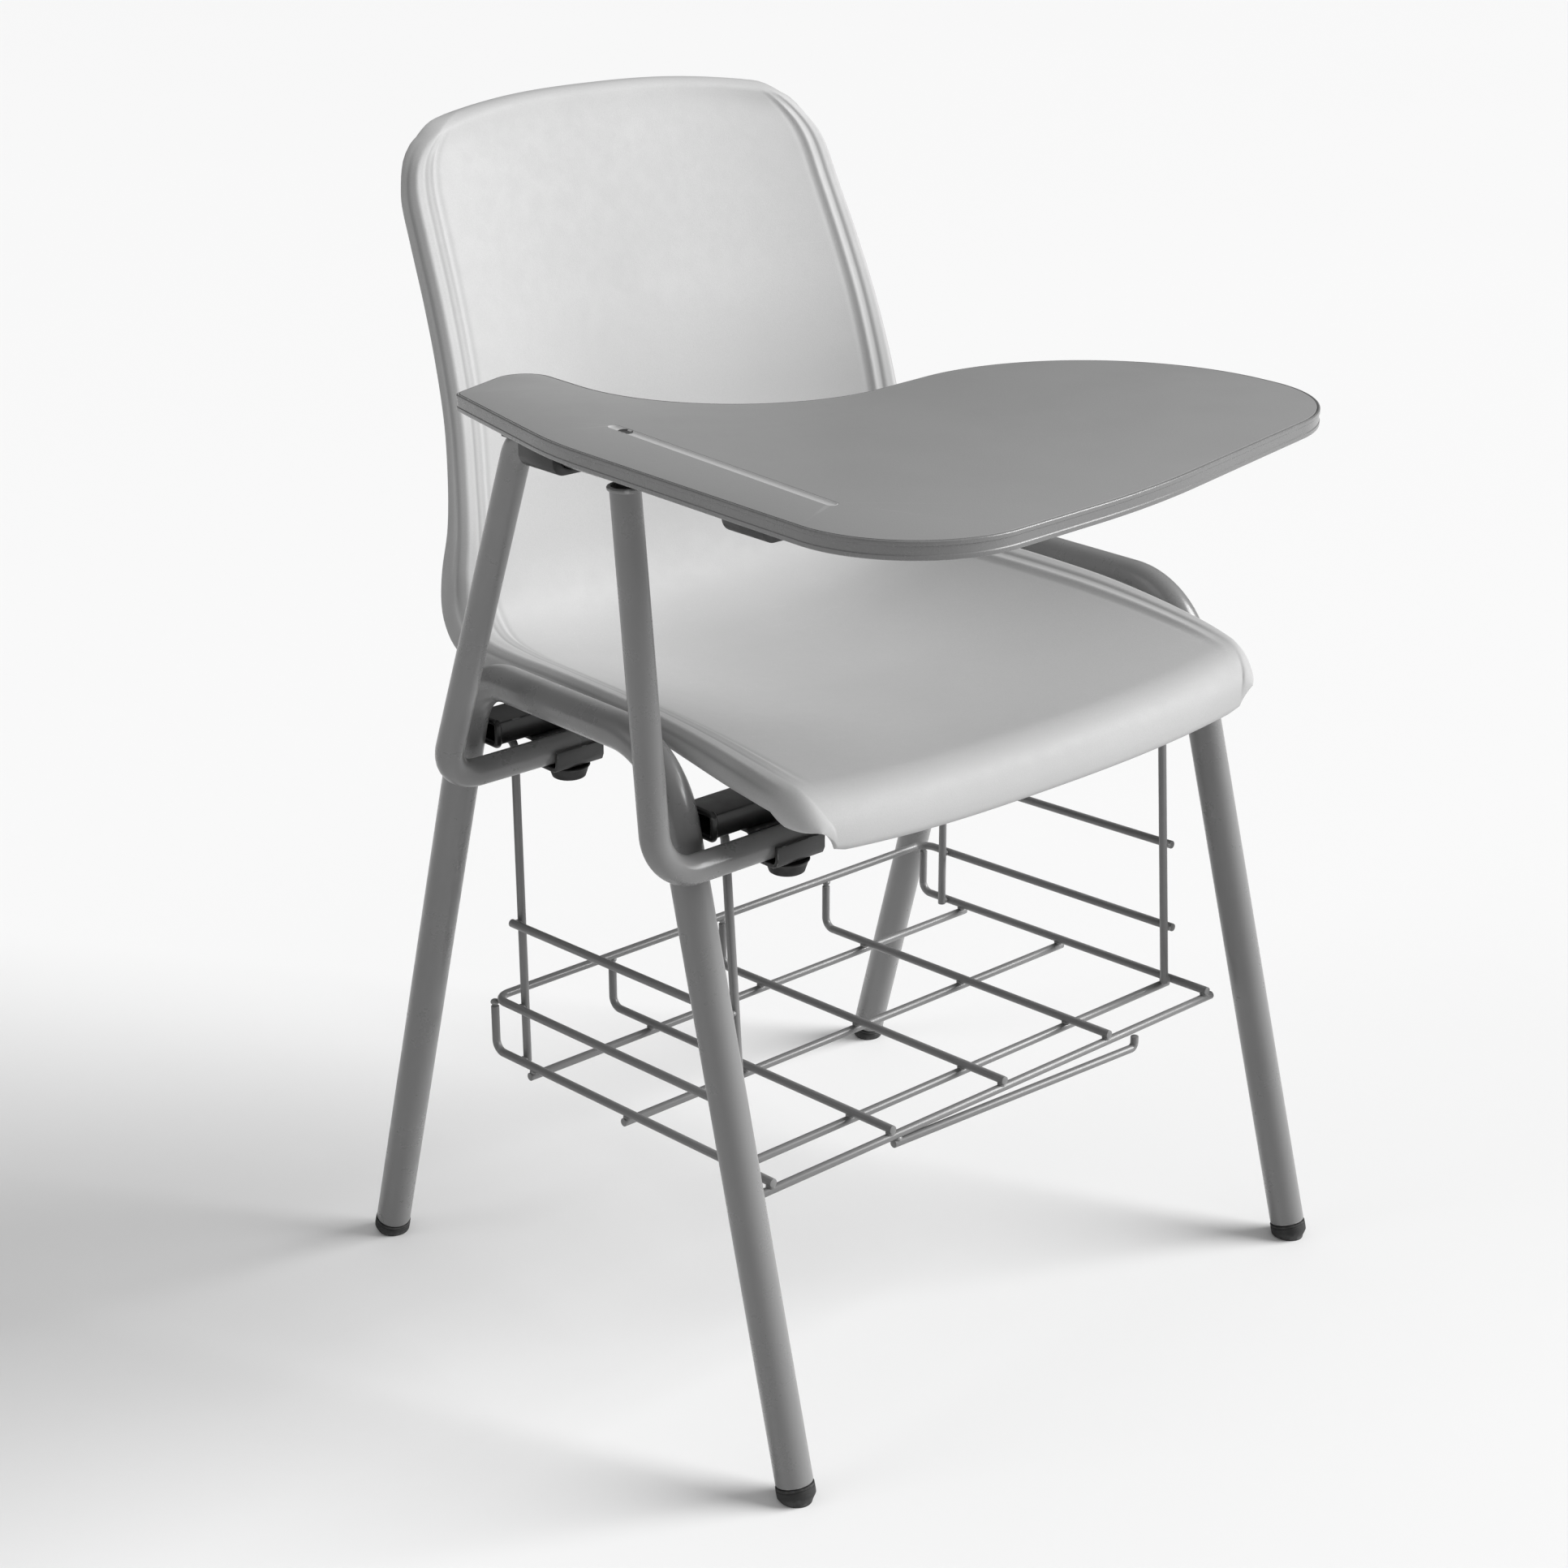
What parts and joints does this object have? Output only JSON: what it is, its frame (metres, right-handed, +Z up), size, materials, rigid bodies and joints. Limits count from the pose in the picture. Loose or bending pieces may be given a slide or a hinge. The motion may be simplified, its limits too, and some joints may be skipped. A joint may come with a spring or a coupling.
{
  "type": "student desk chair",
  "caption": "Classroom chair with a one-piece moulded seat and back on bent tube legs, a flip-up writing tablet on the sitter's right and a wire book basket under the seat",
  "frame": {"origin": "On the floor, under the middle of the plan outline of the whole chair, which lies 39 mm to the sitter's right of the seat's mid-plane because the tablet overhangs that side.", "axes": "+Z is up, the sitter faces -Y, and the tablet is on the sitter's right, at -X."},
  "size_m": [0.6045, 0.6836, 0.8232],
  "materials": {
    "shell": "light grey moulded plastic, fine grain, satin",
    "frame_paint": "grey powder coat on steel tube, semi-gloss",
    "wire": "grey powder coat on steel wire, semi-gloss",
    "black_paint": "black powder coat, satin",
    "rubber": "black, matte",
    "black_plastic": "black moulded plastic, satin",
    "steel": "zinc-plated screw",
    "board": "mid grey hard plastic, fine texture, satin",
    "band": "darker grey edge band, semi-gloss"
  },
  "bodies": {
    "chair": {"seat_shell": "shell", "seat_boss_front_left": "shell", "seat_boss_front_right": "shell", "seat_boss_rear_left": "shell", "seat_boss_rear_right": "shell", "leg_frame_left": "frame_paint", "leg_frame_right": "frame_paint", "tablet_arm_tube": "frame_paint", "tablet_arm_brace": "frame_paint", "tablet_stop": "frame_paint", "floor_rod_1": "wire", "floor_rod_2": "wire", "floor_rod_3": "wire", "floor_rod_4": "wire", "floor_rod_5": "wire", "cross_rod_rear": "wire", "cross_rod_middle": "wire", "cross_rod_front": "wire", "front_rod": "wire", "basket_rim": "wire", "guard_rod_left": "wire", "guard_rod_right": "wire", "hanger_front_left": "wire", "hanger_rear_left": "wire", "hanger_front_right": "wire", "hanger_rear_right": "wire", "front_lip_rod": "wire", "crossbar_front": "black_paint", "crossbar_rear": "black_paint", "arm_bracket_front": "black_paint", "arm_bracket_rear": "black_paint", "foot_cap_front_left": "rubber", "foot_cap_front_right": "rubber", "foot_cap_rear_left": "rubber", "foot_cap_rear_right": "rubber", "arm_end_plug": "rubber", "stacking_pad_front": "rubber", "stacking_pad_rear": "rubber", "seat_screw_front_left": "steel", "seat_screw_front_right": "steel", "seat_screw_rear_left": "steel", "seat_screw_rear_right": "steel", "arm_screw_front_outer": "steel", "arm_screw_front_inner": "steel", "arm_screw_rear_outer": "steel", "arm_screw_rear_inner": "steel"},
    "tablet": {"tablet_board": "board", "tablet_edge_band": "band", "tablet_clamp_front": "black_plastic", "tablet_clamp_rear": "black_plastic", "tablet_screw_front_outer": "steel", "tablet_screw_front_inner": "steel", "tablet_screw_rear_outer": "steel", "tablet_screw_rear_inner": "steel"}
  },
  "joints": [
    {"name": "tablet_flip", "type": "hinge", "parent": "chair", "child": "tablet", "pos_m": [-0.2457, -0.0772, 0.668], "axis": [0, -1, 0], "range_deg": [0, 90]}
  ]
}
